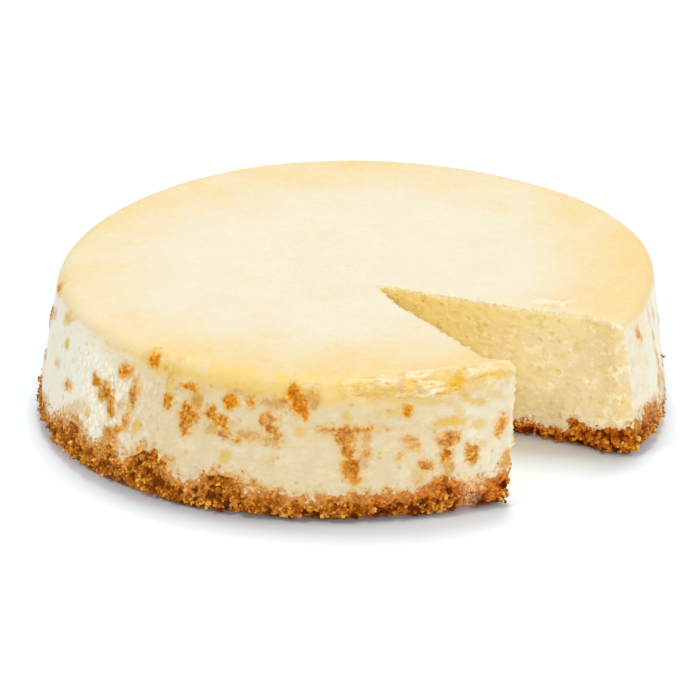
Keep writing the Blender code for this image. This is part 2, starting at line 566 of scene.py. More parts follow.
O, B, T, V, G = Bake.ORANGE, Bake.BROWN, Bake.TAN, Bake.OLIVE, Bake.GOLD
STAINS = (
    # Left flank.
    Stain(-171.9, 48.6, 4.5, 1.6, O), Stain(-160.5, 46.0, 5.5, 2.4, V, 0.8, 25),
    Stain(-158.5, 37.9, 2.6, 2.6, V, 0.9), Stain(-161.5, 28.5, 4.0, 3.2, O, 0.4),
    Stain(-154.5, 25.5, 4.4, 2.7, O, 0.8, 15), Stain(-176.8, 35.6, 6.4, 4.6, B, 0.9, 30),
    Stain(-174.4, 37.6, 3.6, 4.0, B, 0.7), Stain(-183.4, 31.0, 5.2, 6.4, B, 0.9, 40),
    Stain(-181.4, 28.0, 4.0, 4.6, O, 0.7, 20), Stain(-170.5, 39.5, 4.4, 2.6, T, 0.6, 30),
    Stain(-178.6, 18.4, 6.0, 2.6, B, 0.5, 20), Stain(-174.2, 20.6, 5.6, 2.6, T, 0.6, 34), Stain(-145.8, 21.5, 2.2, 2.6, V, 0.7),
    Stain(-149.5, 20.5, 8.0, 3.4, T, 0.35, 12), Stain(-152.5, 18.0, 2.2, 1.6, V, 0.7), Stain(-147.4, 23.6, 1.6, 1.4, V, 0.6),
    # Scratched patch and what hangs over it.
    Stain(-131.4, 48.3, 5.0, 3.4, O, 1.0, -30), Stain(-137.4, 41.8, 4.4, 3.4, O),
    Stain(-138.4, 40.3, 3.0, 2.6, O, 1.0, 30), Stain(-134.4, 34.6, 3.6, 7.4, B, 0.9),
    Stain(-134.9, 31.0, 2.4, 4.0, V, 0.7), Stain(-144.6, 33.4, 5.2, 3.6, B, 1.0, -35),
    Stain(-141.3, 31.4, 6.4, 4.6, B, 1.0, -30), Stain(-139.6, 27.8, 3.2, 6.6, B, 1.0, 8),
    Stain(-142.6, 29.6, 3.0, 2.4, B), Stain(-137.1, 29.6, 2.2, 3.0, T, 0.5),
    Stain(-135.1, 24.9, 2.6, 5.4, O, 0.7, -12), Stain(-136.6, 21.2, 4.8, 2.4, O, 0.8, 35),
    Stain(-138.8, 18.6, 5.4, 4.4, B, 0.9, 30), Stain(-132.4, 24.2, 2.2, 2.8, V, 0.9),
    # Front.
    Stain(-126.4, 36.2, 3.2, 5.0, B), Stain(-126.5, 43.5, 2.6, 8.0, V, 0.7),
    Stain(-127.0, 47.6, 5.0, 2.4, V, 0.6), Stain(-121.9, 42.8, 5.4, 1.8, O, 0.9),
    Stain(-120.6, 38.6, 3.6, 5.6, T, 0.9), Stain(-121.7, 33.2, 7.2, 4.8, B, 1.0, -8),
    Stain(-122.0, 29.4, 4.4, 5.4, B, 0.9), Stain(-122.4, 35.8, 3.2, 3.6, B),
    Stain(-117.2, 35.8, 3.8, 4.4, B), Stain(-115.4, 33.4, 7.4, 3.6, B, 1.0, -20),
    Stain(-114.0, 29.2, 4.6, 2.6, B, 0.8, -20), Stain(-111.1, 28.0, 1.8, 1.7, B),
    Stain(-116.4, 30.2, 5.0, 3.0, T, 0.6), Stain(-113.3, 21.5, 1.9, 2.2, V, 0.9),
    Stain(-113.7, 40.7, 5.0, 4.4, O), Stain(-109.8, 41.6, 2.6, 3.2, O, 0.8),
    Stain(-105.2, 42.0, 9.0, 3.6, T, 0.6), Stain(-112.3, 44.4, 6.0, 1.4, T, 0.5),
    Stain(-101.8, 46.0, 4.0, 5.2, O), Stain(-100.4, 42.4, 5.6, 7.6, O, 1.0, 10),
    Stain(-99.5, 39.4, 3.6, 3.6, O, 0.9), Stain(-103.4, 43.2, 3.0, 2.4, O, 0.8),
    Stain(-98.4, 44.0, 5.0, 7.0, T, 0.6), Stain(-105.6, 37.4, 3.4, 1.6, B, 0.8, -15),
    Stain(-107.0, 35.4, 2.6, 3.4, B, 0.8), Stain(-105.4, 33.0, 4.6, 2.8, B, 0.9, -25),
    Stain(-104.4, 30.6, 3.6, 3.2, B, 0.85), Stain(-109.4, 29.8, 7.6, 2.8, T, 0.7),
    Stain(-105.0, 29.2, 6.6, 3.0, B, 0.55, 6),
    Stain(-100.0, 33.0, 3.0, 2.0, V, 0.5), Stain(-104.6, 22.4, 2.2, 2.8, V, 0.4),
    # The hooked smear and its drip.
    Stain(-91.6, 34.2, 13.0, 1.9, B, 0.95), Stain(-91.9, 31.8, 6.4, 6.4, B, 0.9),
    Stain(-91.2, 26.6, 4.8, 5.8, B, 0.95), Stain(-90.5, 20.8, 6.2, 7.4, B, 1.0),
    Stain(-89.8, 17.2, 3.6, 4.0, O, 0.9), Stain(-88.0, 26.0, 1.8, 2.4, B, 0.9),
    Stain(-88.0, 29.6, 1.8, 8.0, T, 0.6), Stain(-88.6, 23.0, 3.0, 5.0, T, 0.5),
    Stain(-94.8, 33.2, 4.0, 1.4, T, 0.6), Stain(-91.9, 38.4, 1.4, 2.4, V, 0.6),
    # Front right, below the torn rim.
    Stain(-80.9, 40.2, 3.4, 3.8, O), Stain(-83.2, 39.8, 4.0, 1.3, V, 0.6),
    Stain(-79.8, 28.6, 6.2, 3.6, O, 0.6, -28), Stain(-81.9, 24.5, 2.0, 1.6, O, 0.5),
    Stain(-77.2, 20.0, 3.8, 3.6, B, 0.9), Stain(-78.4, 17.6, 6.0, 2.6, V, 0.5),
    Stain(-73.1, 34.6, 7.4, 2.0, V, 0.9), Stain(-73.4, 28.4, 7.6, 5.2, B, 0.85),
    Stain(-73.5, 23.4, 3.2, 6.4, B), Stain(-73.2, 18.6, 3.6, 4.0, T, 0.8),
    Stain(-68.7, 22.2, 4.0, 6.4, B, 0.95), Stain(-63.1, 30.6, 3.6, 6.4, O, 0.85, -20),
    Stain(-68.0, 32.4, 4.2, 2.0, V, 0.5), Stain(-69.2, 41.6, 5.6, 1.8, V, 0.7, -22),
    Stain(-64.6, 41.6, 4.4, 1.2, V, 0.4, -15), Stain(-71.2, 37.6, 1.8, 4.6, V, 0.4),
    Stain(-77.0, 43.0, 9.0, 1.1, V, 0.4), Stain(-67.0, 25.0, 2.4, 1.8, V, 0.4),
    Stain(-72.1, 48.4, 5.0, 2.2, G, 0.95, 14), Stain(-73.4, 46.4, 5.0, 1.2, G, 0.7, 25),
    Stain(-71.4, 45.6, 2.2, 2.6, G, 0.5), Stain(-65.0, 48.4, 5.0, 0.9, G, 0.6),
    Stain(-80.5, 48.4, 2.6, 2.4, G, 0.5, -30), Stain(-86.6, 47.6, 8.6, 1.7, V, 0.6),
    Stain(-62.0, 18.5, 3.0, 4.0, O, 0.7),
    # Right flank, beside the gap.
    Stain(-25.0, 41.0, 2.4, 3.4, O, 0.65), Stain(-24.0, 38.4, 1.8, 1.6, O, 0.5),
    Stain(-17.0, 42.0, 1.8, 3.6, O, 0.3, 12), Stain(-12.0, 39.0, 2.2, 5.0, O, 0.3, 15),
    Stain(-15.4, 32.6, 1.6, 3.4, T, 0.5, -10), Stain(-14.6, 22.0, 2.8, 9.0, O, 0.5, 6),
    Stain(-16.4, 16.6, 5.0, 5.0, T, 0.6, 25), Stain(-12.8, 15.8, 3.6, 4.2, B, 0.4, 30),
    Stain(-3.4, 30.0, 1.6, 5.0, T, 0.4, 15), Stain(24.5, 24.0, 2.4, 3.6, B, 0.6, -20),
    Stain(27.5, 33.0, 3.2, 2.4, O, 0.6, 20), Stain(30.5, 21.0, 2.0, 4.0, V, 0.6),
)


@dataclass(frozen=True)
class HiddenStains:
    """Stains like those in front, strewn over the back of the cake by a seeded chance."""

    first: float = 22.0  # azimuth where they start
    last: float = 166.0
    count: int = 44
    seed: int = 11

    def strewn(self) -> Iterator[Stain]:
        """Yield the stains, some of them in little clusters."""
        chance = np.random.default_rng(self.seed)
        bakes = (O, B, T, V)
        for _ in range(self.count):
            azimuth = chance.uniform(self.first, self.last)
            height = chance.uniform(19, 47)
            bake = bakes[chance.choice(4, p=(0.3, 0.35, 0.15, 0.2))]
            for _ in range(int(chance.integers(1, 4))):
                yield Stain(
                    azimuth + chance.normal(0, 1.1),
                    height + chance.normal(0, 1.6),
                    chance.uniform(1.8, 5.2),
                    chance.uniform(1.6, 5.6),
                    bake,
                    chance.uniform(0.4, 1.0),
                    chance.uniform(-40, 40),
                )


# ---------------------------------------------------------------------------------------------
# Finishes
# ---------------------------------------------------------------------------------------------


@dataclass(frozen=True)
class Body:
    """What a food's surface is like all over: settings of the shader that never vary."""

    roughness: float = 0.5
    specular: float = 0.35
    subsurface: float = 0.0
    scatter: float = 2.0  # how far light runs under the surface, in millimetres
    tint: Colour = (1.0, 0.6, 0.3)  # how that distance splits between the colours
    bump: float = 0.2  # depth of the finest grain, in millimetres
    glint: Colour = (1.0, 0.9, 0.7)  # the tint of its reflections

    def shade(
        self,
        name: str,
        paint: Callable[[Graph], tuple[Wire, Wire]],
        gloss: Optional[Callable[[Graph], Wire]] = None,
    ) -> bpy.types.Material:
        """Make a material of this body.

        Args:
            name: the material's name.
            paint: draws the colour and the fine grain's height in a graph.
            gloss: draws the roughness; without it the roughness is even.

        Returns:
            The material.
        """
        look = bpy.data.materials.new(name)
        look.use_nodes = True
        graph = Graph(look.node_tree)
        colour, grain = paint(graph)
        lift = graph.add(
            "ShaderNodeBump", {}, {"Strength": 1.0, "Distance": self.bump * MM, "Height": grain}
        )
        sockets = {
            "Base Color": colour,
            "Roughness": gloss(graph) if gloss else self.roughness,
            "Specular IOR Level": self.specular,
            "Specular Tint": self.glint,
            "Subsurface Weight": self.subsurface,
            "Subsurface Radius": self.tint,
            "Subsurface Scale": self.scatter * MM,
            "Normal": lift,
        }
        shader = graph.add("ShaderNodeBsdfPrincipled", {}, sockets)
        graph.add("ShaderNodeOutputMaterial", {}, {"Surface": shader})
        return look


def border(graph: Graph) -> Wire:
    """Draw the height above the ragged line where the crumbs end, in millimetres."""
    at = graph.place()
    wide = (graph.noise(at, 7.0, 2.0) - 0.5) * 13.0
    sway = wide + (graph.noise(at, 1.7, 2.0, 0.6) - 0.5) * 8.0
    return graph.stamped("line") + sway * (1 - graph.stamped("cut") * 0.45)


def crumble(graph: Graph) -> Wire:
    """Draw the relief of packed crumbs, in millimetres."""
    at = graph.place()
    sway = graph.add("ShaderNodeTexNoise", {}, {"Vector": at, "Scale": 0.5, "Detail": 2.0}, "Color")
    bent = at + (sway - (0.5,) * 3) * 3.2
    loose = graph.step(graph.stamped("line") + (graph.noise(at, 6.0) - 0.5) * 8.0, -1.0, -8.0)
    loose = (loose * graph.step(graph.stamped("line"), -1.0, -4.0)).at_least(graph.stamped("cut") * 0.8)
    clump = (0.4 - graph.cells(bent, 4.6)) * (loose * 1.7 + 0.4)
    crumb = (0.46 - graph.cells(bent, 2.2)) * (loose * 2.2 + 0.7)
    small = (0.5 - graph.cells(at, 1.1)) * (loose * 0.5 + 0.4)
    return clump + crumb + small + (graph.noise(at, 0.6, 2.0) - 0.5) * 0.4


@dataclass(frozen=True)
class CrumbLook:
    """Buttery biscuit crumbs: dusty where pressed, golden and dark where they broke, with painted shade in their
    hollows, between them and at the foot.
    """

    body: Body = Body(0.55, 0.25, 0.05, 0.6, (1.0, 0.5, 0.2), 0.42, (1.0, 0.62, 0.22))
    # painted shade: the dark laid into the crumbs' hollows and along the foot
    hollow_shade: Colour = shown(84, 24, 1)
    dark: Colour = shown(140, 66, 5)
    mid: Colour = shown(186, 100, 12)
    light: Colour = shown(228, 154, 60)
    gold: Colour = shown(252, 204, 80)
    pressed: Colour = shown(202, 140, 76)
    dust: Colour = shown(236, 194, 152)
    cream_deep: Colour = shown(213, 192, 150)
    cream_pale: Colour = shown(230, 222, 200)
    stained: Colour = (1.12, 0.95, 0.48)  # what butter does to the crumbs that the knife laid bare
    painted_left_light: Colour = (1.2, 1.42, 1.7)  # painted light: how much lighter the crumbs are painted on the left flank, which faces the key lamp
    rosy: Colour = (1.2, 1.06, 0.95)  # and how much redder where it was hotter

    def crumbs(self, graph: Graph, chance: Wire) -> Wire:
        """Colour a crumb by its own chance, from 0 to 1."""
        stops = ((0.0, self.dark), (0.4, self.mid), (0.8, self.light), (1.0, self.gold))
        return graph.ramp(chance + (graph.noise(graph.place(), 0.8, 2.0) - 0.5) * 0.6, *stops)

    def packed(self, graph: Graph) -> Wire:
        """Colour packed crumbs, dusty near the border, with painted light and shade: hollows, crumb borders and the
        foot darker, raised crumbs and the left flank lighter.
        """
        at = graph.place()
        cut = graph.stamped("cut")
        chance = graph.channel(graph.cells(at, 1.4, "Color"), 0) * 0.6
        relief = graph.stamped("relief")
        # Painted light and shade: raised crumbs are coloured lighter, the hollows of the relief darker, and the borders
        # between crumbs are darkened.
        colour = self.crumbs(graph, chance + graph.step(relief, -0.8, 0.8) * 0.4)
        colour = graph.mixed(colour, self.dark, graph.step(graph.cells(at, 1.5), 0.45, 0.68) * 0.7)
        colour = graph.mixed(colour, self.hollow_shade, graph.step(relief, -0.3, -1.1) * (0.9 - graph.stamped("cool") * 0.3))
        dusty = graph.step(border(graph), -5.6, -0.8) * graph.step(relief, -0.9, 0.0) * (1 - cut)
        colour = graph.mixed(colour, self.pressed, dusty * 0.6)
        # Painted light: the left flank, which faces the key lamp, is painted lighter.
        colour = graph.mixed(colour, colour * self.painted_left_light, graph.stamped("cool"))
        colour = graph.mixed(colour, colour * self.rosy, graph.stamped("hot"))
        # Painted shade: the crumbs are darkened towards the floor, less on the dusty patch, on the cut and on the left
        # flank.
        shade = graph.step(graph.channel(at, 2), 3.6, 0.8) * (1 - graph.stamped("dust")) * (1 - cut * 0.8)
        shade = shade * (1 - graph.stamped("cool") * 0.4)
        colour = graph.mixed(colour, self.hollow_shade, shade * 0.8)
        return graph.mixed(colour, colour * self.stained, cut)

    def paint_base(self, graph: Graph) -> tuple[Wire, Wire]:
        """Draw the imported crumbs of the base, with cheese smeared over them at the border."""
        at = graph.place()
        fine = graph.noise(at, 0.5, 3.0, 0.7)
        cream = graph.mixed(self.cream_deep, self.cream_pale, graph.stamped("pale"))
        colour = graph.mixed(self.packed(graph), cream, graph.step(border(graph), -0.3, 0.5))
        colour = graph.mixed(colour, self.dust, graph.stamped("dust") * graph.step(fine, 0.42, 0.56))
        return colour, fine * 0.5 - graph.cells(at, 1.5)

    def paint_grain(self, graph: Graph) -> tuple[Wire, Wire]:
        """Draw a loose grain, whose tone was stamped on it."""
        return self.crumbs(graph, graph.stamped("tone")), graph.noise(graph.place(), 0.4, 3.0, 0.7)


@dataclass(frozen=True)
class CheeseLook:
    """Baked cheese: a golden skin on top, cream on the side, and the yellow inside at the cut."""

    body: Body = Body(0.58, 0.2, 0.2, 2.0, (1.0, 0.62, 0.3), 0.25)
    crumbs: CrumbLook = CrumbLook()
    skin_pale: Colour = shown(224, 216, 192)
    skin_warm: Colour = shown(227, 199, 137)
    side_pale: Colour = shown(233, 227, 207)
    side_deep: Colour = shown(213, 192, 150)
    side_warm: Colour = shown(226, 190, 114)
    smudge: Colour = shown(212, 184, 122)
    cut_pale: Colour = shown(229, 210, 167)
    cut_warm: Colour = shown(241, 216, 138)
    cut_deep: Colour = shown(218, 186, 124)
    cut_green: Colour = shown(222, 192, 100)
    rim: Colour = shown(229, 196, 104)
    blush: Colour = shown(238, 208, 178)
    brown: Stops = (
        (0.1, shown(156, 80, 2)), (0.35, shown(191, 116, 14)), (0.65, shown(213, 150, 54)), (0.95, shown(230, 187, 104))
    )
    orange: Stops = (
        (0.1, shown(182, 92, 0)), (0.35, shown(204, 120, 0)), (0.65, shown(222, 150, 20)), (0.95, shown(238, 190, 80))
    )
    tan: Colour = shown(208, 162, 84)
    olive: Colour = shown(220, 182, 82)
    yolk: Colour = shown(232, 182, 44)
    # white of cheese flakes; on the cut's edges and its corner with the wall it is also painted highlight
    flake_and_highlight: Colour = shown(246, 238, 216)

    def paint(self, graph: Graph) -> tuple[Wire, Wire]:
        """Draw the colour and the fine grain of the whole filling."""
        at = graph.place()
        cut = graph.stamped("cut")
        curd = graph.noise(at, 4.0, 3.0, 0.6)
        fine = graph.noise(at, 0.9, 3.0, 0.6)
        off = graph.stamped("to_top") * (graph.stamped("cool") * 0.9 + 1.0) + (curd - 0.5) * 7.0
        top = graph.step(off, 3.4, 0.6) * (1 - cut)
        outer = (1 - top) * (1 - cut)
        colour = graph.mixed(self.side(graph, at, curd), self.skin(graph, at, curd), top)
        blots = graph.noise(graph.rolled() * (0.4, 1.0, 1.0), 4.0, 3.0, 0.6)
        colour = graph.mixed(colour, self.rim, graph.stamped("band") * graph.step(blots, 0.4, 0.54) * 0.75)
        # Partly painted highlight: the corner between wall and cut is whitened in patches, besides its torn flakes.
        colour = graph.mixed(colour, self.flake_and_highlight, graph.stamped("corner") * graph.step(curd, 0.3, 0.6) * 0.4)
        colour = graph.mixed(colour, self.inside(graph, at, curd), cut)
        colour = self.pits(graph, at, colour, 1 - top)
        colour = self.scratches(graph, at, colour, fine)
        colour = self.torn(graph, colour)
        colour = self.stains(graph, at, colour, fine)
        haze = graph.step(border(graph) + (fine - 0.5) * 3.0, 3.6, 0.2)
        colour = graph.mixed(colour, self.tan, haze * (outer * 0.45 + 0.3))
        colour = graph.mixed(colour, self.crumbs.packed(graph), graph.step(border(graph), 0.5, -0.3))
        return colour, fine + curd * 0.6

    def skin(self, graph: Graph, at: Wire, curd: Wire) -> Wire:
        """Draw the top: pale in the middle, golden near the rim, faintly blotched."""
        cloud = graph.noise(at, 24.0, 3.0)
        smear = graph.noise(at * (0.8, 1.0, 1.0), 5.0, 4.0, 0.6)
        blush = graph.stamped("warm") + (cloud - 0.5) * 0.8 + (curd - 0.5) * 0.34 + (smear - 0.5) * 0.4
        colour = graph.mixed(self.skin_pale, self.skin_warm, graph.step(blush, -0.05, 1.0))
        return graph.mixed(colour, self.flake_and_highlight, graph.step(smear, 0.5, 0.7) * 0.15)

    def side(self, graph: Graph, at: Wire, curd: Wire) -> Wire:
        """Draw the wall: cream, with marks that the tin dragged along it and a golden rim."""
        drag = graph.noise(graph.rolled() * (0.35, 1.0, 1.0), 2.4, 3.0, 0.6)
        blotch = graph.noise(graph.rolled() * (0.55, 1.0, 1.0), 7.0, 3.0, 0.6)
        pale = graph.stamped("pale") + (curd - 0.5) * 0.5 + (blotch - 0.5) * 1.1
        colour = graph.mixed(self.side_deep, self.side_pale, graph.step(pale, 0.0, 1.0))
        marks = graph.step(drag, 0.54, 0.7) * graph.step(blotch, 0.42, 0.6)
        colour = graph.mixed(colour, self.smudge, marks * 0.34)
        colour = graph.mixed(colour, self.flake_and_highlight, graph.step(blotch + drag * 0.3, 0.62, 0.46) * 0.25)
        gold = graph.stamped("warm") + (curd - 0.5) * 0.7 + (drag - 0.5) * 0.9
        return graph.mixed(colour, self.side_warm, graph.step(gold, 0.12, 0.9))

    def inside(self, graph: Graph, at: Wire, curd: Wire) -> Wire:
        """Draw the cut face: yellow, curdled, with paler tears, small greenish dots and whitened edges, partly painted
        highlight.
        """
        streak = graph.noise(at * (0.45, 0.45, 1.0), 2.2, 3.0, 0.65)
        gold = graph.stamped("warm") + (curd - 0.5) * 0.9 + (streak - 0.5) * 0.8
        colour = graph.mixed(self.cut_pale, self.cut_warm, graph.step(gold, 0.0, 1.0))
        green = graph.noise(at * (0.6, 0.6, 1.0), 3.2, 3.0, 0.6) + (streak - 0.5) * 0.3
        colour = graph.mixed(colour, self.cut_green, graph.step(green, 0.5, 0.68) * 0.6)
        pink = graph.noise(at, 7.0, 3.0, 0.6)
        colour = graph.mixed(colour, self.blush, graph.step(pink, 0.52, 0.64) * (0.5 - graph.stamped("warm") * 0.4))
        colour = graph.mixed(colour, self.cut_deep, graph.step(graph.stamped("to_wall") + streak * 8, 22, 8) * 0.4)
        tear = graph.step(graph.noise(at, 4.0, 4.0, 0.65), 0.53, 0.64) * (1.1 - graph.stamped("warm"))
        colour = graph.mixed(colour, self.flake_and_highlight, tear * 0.55)
        low = graph.step(border(graph), 5.0, 1.0) * graph.step(streak, 0.45, 0.53)
        colour = graph.mixed(colour, self.flake_and_highlight, low * (0.95 - graph.stamped("warm") * 0.6))
        dot = graph.step(graph.cells(at, 7.0), 0.24, 0.12)
        colour = graph.mixed(colour, self.olive, dot * graph.step(curd, 0.46, 0.56) * 0.6)
        # Partly painted highlight: the cut's edges along the top and the wall are whitened, besides the white of torn
        # flakes.
        return graph.mixed(colour, self.flake_and_highlight, graph.stamped("edge") * 0.45 + graph.stamped("corner") * 0.15)

    def pits(self, graph: Graph, at: Wire, colour: Wire, where: Wire) -> Wire:
        """Darken the small holes that the baking left."""
        rarely = graph.step(graph.channel(graph.cells(at, 3.2, "Color"), 0), 0.72, 0.8)
        hole = graph.step(graph.cells(at, 3.2), 0.26, 0.12) * rarely
        return graph.mixed(colour, self.olive, hole * where * 0.5)

    def scratches(self, graph: Graph, at: Wire, colour: Wire, fine: Wire) -> Wire:
        """Whiten the patch that was rubbed against the tin."""
        streak = graph.noise(at * (1.0, 1.0, 0.35), 1.1, 2.0) + (fine - 0.5) * 0.5
        return graph.mixed(colour, self.flake_and_highlight, graph.step(streak, 0.46, 0.6) * graph.stamped("rubbed"))

    def torn(self, graph: Graph, colour: Wire) -> Wire:
        """Draw the rim where the skin tore: white flakes with golden gaps between them."""
        flap = flaps(graph)
        colour = graph.mixed(colour, self.yolk, graph.step(flap, 0.44, 0.38) * graph.stamped("torn") * 0.4)
        return graph.mixed(colour, self.flake_and_highlight, graph.step(flap, 0.5, 0.56) * graph.stamped("torn") * 0.62)

    def stains(self, graph: Graph, at: Wire, colour: Wire, fine: Wire) -> Wire:
        """Lay the baked crumbs over the cheese."""
        strength = graph.stamped("strength")
        wander = (graph.noise(at, 3.0, 2.0) - 0.5) * 3.4 + (graph.noise(at, 1.2, 2.0) - 0.5) * 2.2 + 0.4
        depth = graph.stamped("stain") + wander
        tone = graph.stamped("tone")
        lot = graph.channel(graph.cells(at, 1.0, "Color"), 0) * 0.4 + (graph.noise(at, 2.0, 3.0, 0.65) - 0.5) * 1.8
        lot = lot + 0.2 + graph.step(depth, 1.4, -0.4) * 0.35
        brown = graph.ramp(lot, *self.brown)
        baked = graph.mixed(brown, graph.ramp(lot, *self.orange), graph.step(tone, 0.5, 1.0))
        baked = graph.mixed(graph.mixed(self.tan, brown, 0.45), baked, graph.step(tone, 0.1, 0.45))
        baked = graph.mixed(self.olive, baked, graph.step(tone, -0.3, 0.1))
        baked = graph.mixed(self.yolk, baked, graph.step(tone, -0.9, -0.5))
        halo = graph.step(depth + (fine - 0.5) * 1.2, -2.0, 0.2) * strength * 0.5
        colour = graph.mixed(colour, graph.mixed(self.tan, baked, 0.3), halo)
        return graph.mixed(colour, baked, graph.step(depth + (fine - 0.5) * 1.6, -0.8, 0.7) * strength)

    def paint_flake(self, graph: Graph) -> tuple[Wire, Wire]:
        """Draw a loose shaving of cheese, whose tone was stamped on it."""
        colour = graph.mixed(self.cut_warm, self.flake_and_highlight, graph.stamped("tone"))
        return colour, graph.noise(graph.place(), 0.5, 2.0)


def flaps(graph: Graph) -> Wire:
    """Draw the torn layers of the rim, from 0 to 1."""
    return graph.noise(graph.place() * (0.35, 0.8, 1.0), 3.0, 3.0, 0.6)


# ---------------------------------------------------------------------------------------------
# Carving
# ---------------------------------------------------------------------------------------------


@dataclass
class Carved:
    """A piece carved out of a copy of its solid: a coarse skin, refined where it is seen."""

    node: str
    name: str
    voxel: float = 1.0
    cuts: int = 1

    def skin(self) -> bpy.types.Object:
        """Cover the solid with an even skin, refined where it is seen.

        Returns:
            The piece, stamped with its distance from each region.
        """
        solid = frame["nodes"][self.node]
        survey = Survey(solid)
        piece = Bench.copy_of(solid, self.name)
        size = self.voxel * 1.0
        Bench.finish_with(piece, "REMESH", mode="VOXEL", voxel_size=size * MM)
        Bench.finish_with(piece, "SMOOTH", factor=0.5, iterations=3)
        gaps = {region: survey.away(points_of(piece), region) for region in Region}
        stamp(piece, **{"to_" + region.value: gap for region, gap in gaps.items()})
        seen = np.minimum(gaps[Region.WALL], gaps[Region.CUT]) < 1.9 * self.voxel
        Bench.refine(piece, seen, self.cuts)
        Bench.finish_with(piece, "SMOOTH", factor=0.5, iterations=2)
        return piece

    def carve(self, piece: bpy.types.Object, relief: Callable[[Graph], Wire], lift: Callable) -> None:
        """Push the skin along its normals, raise it a little, and keep it above the floor.

        Args:
            piece: the piece.
            relief: draws the distance along the normal in millimetres; it is stamped as well.
            lift: draws the distance upwards in millimetres.
        """
        tree = bpy.data.node_groups.new(piece.name + "_relief", "GeometryNodeTree")
        tree.interface.new_socket("Geometry", in_out="INPUT", socket_type="NodeSocketGeometry")
        tree.interface.new_socket("Geometry", in_out="OUTPUT", socket_type="NodeSocketGeometry")
        graph = Graph(tree)
        mesh = graph.add(
            "GeometryNodeStoreNamedAttribute",
            {"data_type": "FLOAT", "domain": "POINT"},
            {"Geometry": graph.add("NodeGroupInput"), "Name": "relief", "Value": relief(graph)},
        )
        upright = graph.add("ShaderNodeCombineXYZ", {}, {0: 0.0, 1: 0.0, 2: lift(graph)})
        move = graph.add("GeometryNodeInputNormal") * graph.stamped("relief") + upright
        place = graph.add("GeometryNodeInputPosition") + move * MM
        mesh = graph.add(
            "GeometryNodeSetPosition", {}, {"Geometry": mesh, "Position": place.at_least((-1.0, -1.0, 0.0))}
        )
        graph.add("NodeGroupOutput", {}, {0: mesh})
        Bench.finish_with(piece, "NODES", node_group=tree)
        bpy.data.node_groups.remove(tree)
        Bench.thin(piece, PIECE_TRIANGLES)
        piece.data.shade_smooth()


# ---------------------------------------------------------------------------------------------
# The filling
# ---------------------------------------------------------------------------------------------


